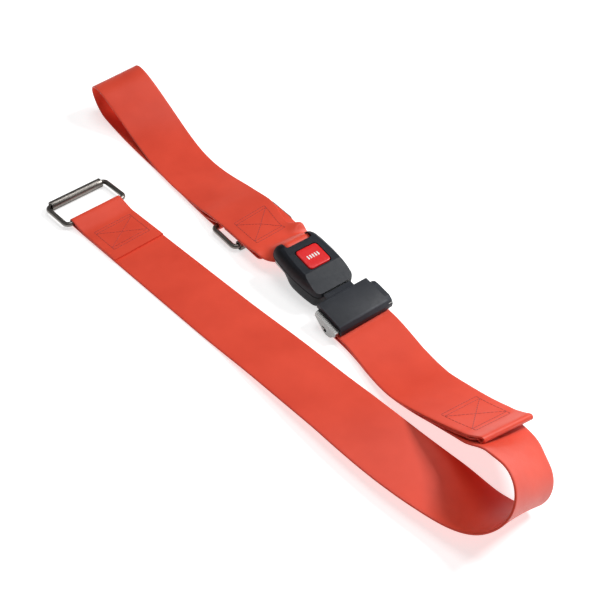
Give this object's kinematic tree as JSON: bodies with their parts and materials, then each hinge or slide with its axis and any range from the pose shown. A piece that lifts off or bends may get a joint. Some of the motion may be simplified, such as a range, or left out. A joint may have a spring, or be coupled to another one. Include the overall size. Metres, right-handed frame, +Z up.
{
  "type": "two-piece spine board strap with push-button buckle",
  "caption": "Restraint strap in two coated webbing halves: push-button buckle, adjustable tongue and roller loop rings, laid out loosely on a flat surface",
  "frame": {"origin": "centre of the footprint on the surface the strap lies on", "axes": "+X along the laid-out strap from the far loop of the short strap, through buckle and tongue, towards the fold of the long strap; +Z up"},
  "size_m": [0.602, 0.1684, 0.0518],
  "materials": {
    "webbing": "smooth vinyl-coated, semi-gloss",
    "thread": "lock-stitched polyester thread",
    "housing_plastic": "fine moulded texture",
    "button_plastic": "semi-gloss",
    "cover_plastic": "satin",
    "zinc_plated_steel": "bright zinc plate",
    "ring_nickel": "dark nickel plate",
    "spring_steel": "plain",
    "ejector_plastic": "natural acetal"
  },
  "bodies": {
    "tongue_half": {"tongue_plate": "zinc_plated_steel", "tongue_cover": "cover_plastic", "long_strap_ring_eye": "webbing", "long_strap_ring_flap": "webbing", "long_strap_lower_run": "webbing", "long_strap_rising_run": "webbing", "long_strap_fold": "webbing", "long_strap_return_run": "webbing", "long_strap_adjuster_loop": "webbing", "long_strap_tail": "webbing", "tail_tab_flap": "webbing", "tail_tab_end": "webbing", "ring_a_stitching": "thread", "tail_stitching": "thread"},
    "buckle_half": {"housing_top": "housing_plastic", "housing_bottom": "housing_plastic", "anchor_frame": "zinc_plated_steel", "anchor_bar": "zinc_plated_steel", "latch_leaf": "spring_steel", "leaf_rivets": "zinc_plated_steel", "ejector_springs": "spring_steel", "short_strap_buckle_eye": "webbing", "short_strap_buckle_flap": "webbing", "short_strap_upper_run": "webbing", "short_strap_far_loop": "webbing", "short_strap_lower_run": "webbing", "short_strap_ring_eye": "webbing", "short_strap_ring_flap": "webbing", "buckle_end_stitching": "thread", "ring_b_stitching": "thread"},
    "button": {"push_button": "button_plastic"},
    "ejector_slide": {"ejector": "ejector_plastic"},
    "adjuster_bar": {"lock_bar": "zinc_plated_steel"},
    "ring_a_loop": {"ring_a": "ring_nickel"},
    "ring_a_roller": {"roller_a": "ring_nickel"},
    "ring_b_loop": {"ring_b": "ring_nickel"},
    "ring_b_roller": {"roller_b": "ring_nickel"}
  },
  "joints": [
    {"name": "buckle_release", "type": "slide", "parent": "tongue_half", "child": "buckle_half", "axis": [-0.989, 0, 0.1478], "range_m": [0, 0.025], "deforming": ["latch_leaf"]},
    {"name": "push_button", "type": "slide", "parent": "buckle_half", "child": "button", "axis": [-0.1478, 0, -0.989], "range_m": [0, 0.0025], "stiffness_N_per_m": 800, "deforming": ["latch_leaf"]},
    {"name": "ejector_slide", "type": "slide", "parent": "buckle_half", "child": "ejector_slide", "axis": [0.989, 0, -0.1478], "range_m": [0, 0.0091], "deforming": ["ejector_springs"]},
    {"name": "lock_bar_slide", "type": "slide", "parent": "tongue_half", "child": "adjuster_bar", "axis": [0.989, 0, -0.1478], "range_m": [0, 0.0025], "deforming": ["long_strap_adjuster_loop"]},
    {"name": "ring_a_swing", "type": "hinge", "parent": "tongue_half", "child": "ring_a_loop", "pos_m": [-0.1415, -0.04871, 0.00445], "axis": [-0.1077, 0.9942, 0], "range_deg": [0, 150]},
    {"name": "ring_a_roller_spin", "type": "hinge", "parent": "ring_a_loop", "child": "ring_a_roller", "pos_m": [-0.175, -0.05234, 0.00445], "axis": [-0.1077, 0.9942, 0], "continuous": true},
    {"name": "ring_b_swing", "type": "hinge", "parent": "buckle_half", "child": "ring_b_loop", "pos_m": [-0.0579, 0.0517, 0.00445], "axis": [0, -1, 0], "range_deg": [0, 0.6]},
    {"name": "ring_b_roller_spin", "type": "hinge", "parent": "ring_b_loop", "child": "ring_b_roller", "pos_m": [-0.0242, 0.0517, 0.00445], "axis": [0, -1, 0], "continuous": true}
  ],
  "couplings": [
    {"joint": "ejector_slide", "follows": "buckle_release", "ratio": 0.36}
  ]
}
